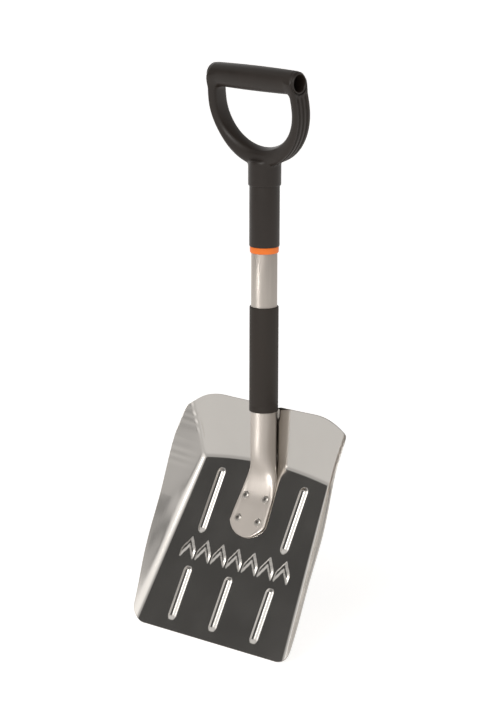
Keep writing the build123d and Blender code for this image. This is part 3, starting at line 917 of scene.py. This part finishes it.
class SHOVEL_OT_sleeves(bpy.types.Operator):
    """Builds the stem sleeve, the accent ring and the lower grip"""

    bl_idname = "shovel.sleeves"
    bl_label = "Sleeves"

    def execute(self, context):
        tube, grip = context.scene.shovel_tube, context.scene.shovel_grip
        inner = tube.radius + SLEEVE_CLEARANCE
        # Injection-moulded polypropylene: black with a soft sheen
        plastic = moulded("moulded_black_polypropylene_sleeve", grip.colour, 0.5 * MM, 0.42, 0.25)
        # The same plastic dyed through: clear orange, a little glossier, and it hardly shows wear
        orange = moulded("moulded_orange_polypropylene", tube.ring_colour, 0.5 * MM, 0.38, 0.15, 1.1)
        # Thermoplastic rubber with a coarser grain: matt, with only a broad faint highlight
        rubber = moulded("matt_thermoplastic_rubber", tube.rubber_colour, 0.8 * MM, 0.62, 0.4)

        outer = sleeve_high.x
        profile = sleeve_profile(sleeve_low.z, sleeve_high.z, inner, outer, 0.5 * MM)
        turned("upper_sleeve", profile, shaft_y, plastic, "grip_plastic", "stem_sleeve")

        outer = ring_high.x
        middle = (ring_low.z + ring_high.z) / 2
        crown = [(outer + 0.12 * MM, middle)]
        profile = sleeve_profile(ring_low.z, ring_high.z - 0.02 * MM, inner, outer, 0.9 * MM, crown)
        turned("orange_ring", profile, shaft_y, orange, "orange_plastic", "accent_ring")

        # A fine groove runs round the foot of the lower grip
        outer = rubber_high.x
        line = rubber_low.z + 7 * MM
        shape = [(outer, line - 0.7 * MM), (outer - 0.35 * MM, line), (outer, line + 0.7 * MM)]
        profile = sleeve_profile(rubber_low.z, rubber_high.z, inner, outer, 0.7 * MM, shape)
        turned("rubber_grip", profile, shaft_y, rubber, "sleeve_rubber", "lower_grip")
        return {"FINISHED"}


class SHOVEL_OT_hand_grip(bpy.types.Operator):
    """Builds the D-shaped hand grip"""

    bl_idname = "shovel.hand_grip"
    bl_label = "Hand grip"

    def execute(self, context):
        grip = context.scene.shovel_grip
        # Injection-moulded polypropylene, as on the upper sleeve
        build_grip(grip, moulded("moulded_black_polypropylene", grip.colour, 0.5 * MM, 0.40, 0.25))
        return {"FINISHED"}


class SHOVEL_OT_fasteners(bpy.types.Operator):
    """Gives the rivets, their mandrels and the screw their metals"""

    bl_idname = "shovel.fasteners"
    bl_label = "Fasteners"

    def execute(self, context):
        tube = context.scene.shovel_tube
        # Bare drawn aluminium: bright, a little duller than the pan
        aluminium = plain_metal("bare_rivet_aluminium", tube.rivet_colour, 0.28)
        # Zinc-plated steel: darker and duller still
        steel = plain_metal("zinc_plated_steel", tube.steel_colour, 0.35)
        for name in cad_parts:
            if name.startswith("rivet_body"):
                paint_node(name, aluminium)
            elif name.startswith("rivet_mandrel") or name == "handle_screw":
                paint_node(name, steel)
        return {"FINISHED"}


OPERATORS = (
    SHOVEL_OT_stage,
    SHOVEL_OT_pan,
    SHOVEL_OT_tube,
    SHOVEL_OT_sleeves,
    SHOVEL_OT_hand_grip,
    SHOVEL_OT_fasteners,
)


class SHOVEL_PT_panel(bpy.types.Panel):
    """Lists the steps that build the shovel"""

    bl_idname = "SHOVEL_PT_panel"
    bl_label = "Compact Snow Shovel"
    bl_space_type = "VIEW_3D"
    bl_region_type = "UI"
    bl_category = "Shovel"

    def draw(self, context):
        for operator in OPERATORS:
            self.layout.operator(operator.bl_idname)


GROUPS = {
    "shovel_pan": ShovelPan,
    "shovel_tube": ShovelTube,
    "shovel_grip": ShovelGrip,
    "shovel_stage": ShovelStage,
}


def register():
    """Adds the classes and the scene's groups of sizes."""
    for group in GROUPS.values():
        bpy.utils.register_class(group)
    for operator in OPERATORS:
        bpy.utils.register_class(operator)
    bpy.utils.register_class(SHOVEL_PT_panel)
    for name, group in GROUPS.items():
        setattr(bpy.types.Scene, name, bpy.props.PointerProperty(type=group))


def unregister():
    """Takes them away again."""
    for name in GROUPS:
        delattr(bpy.types.Scene, name)
    bpy.utils.unregister_class(SHOVEL_PT_panel)
    for operator in reversed(OPERATORS):
        bpy.utils.unregister_class(operator)
    for group in reversed(GROUPS.values()):
        bpy.utils.unregister_class(group)


def main():
    """Builds the stage and every piece."""
    register()
    bpy.ops.shovel.stage()
    bpy.ops.shovel.pan()
    bpy.ops.shovel.tube()
    bpy.ops.shovel.sleeves()
    bpy.ops.shovel.hand_grip()
    bpy.ops.shovel.fasteners()
    bpy.context.view_layer.update()


if __name__ == "__main__":
    main()
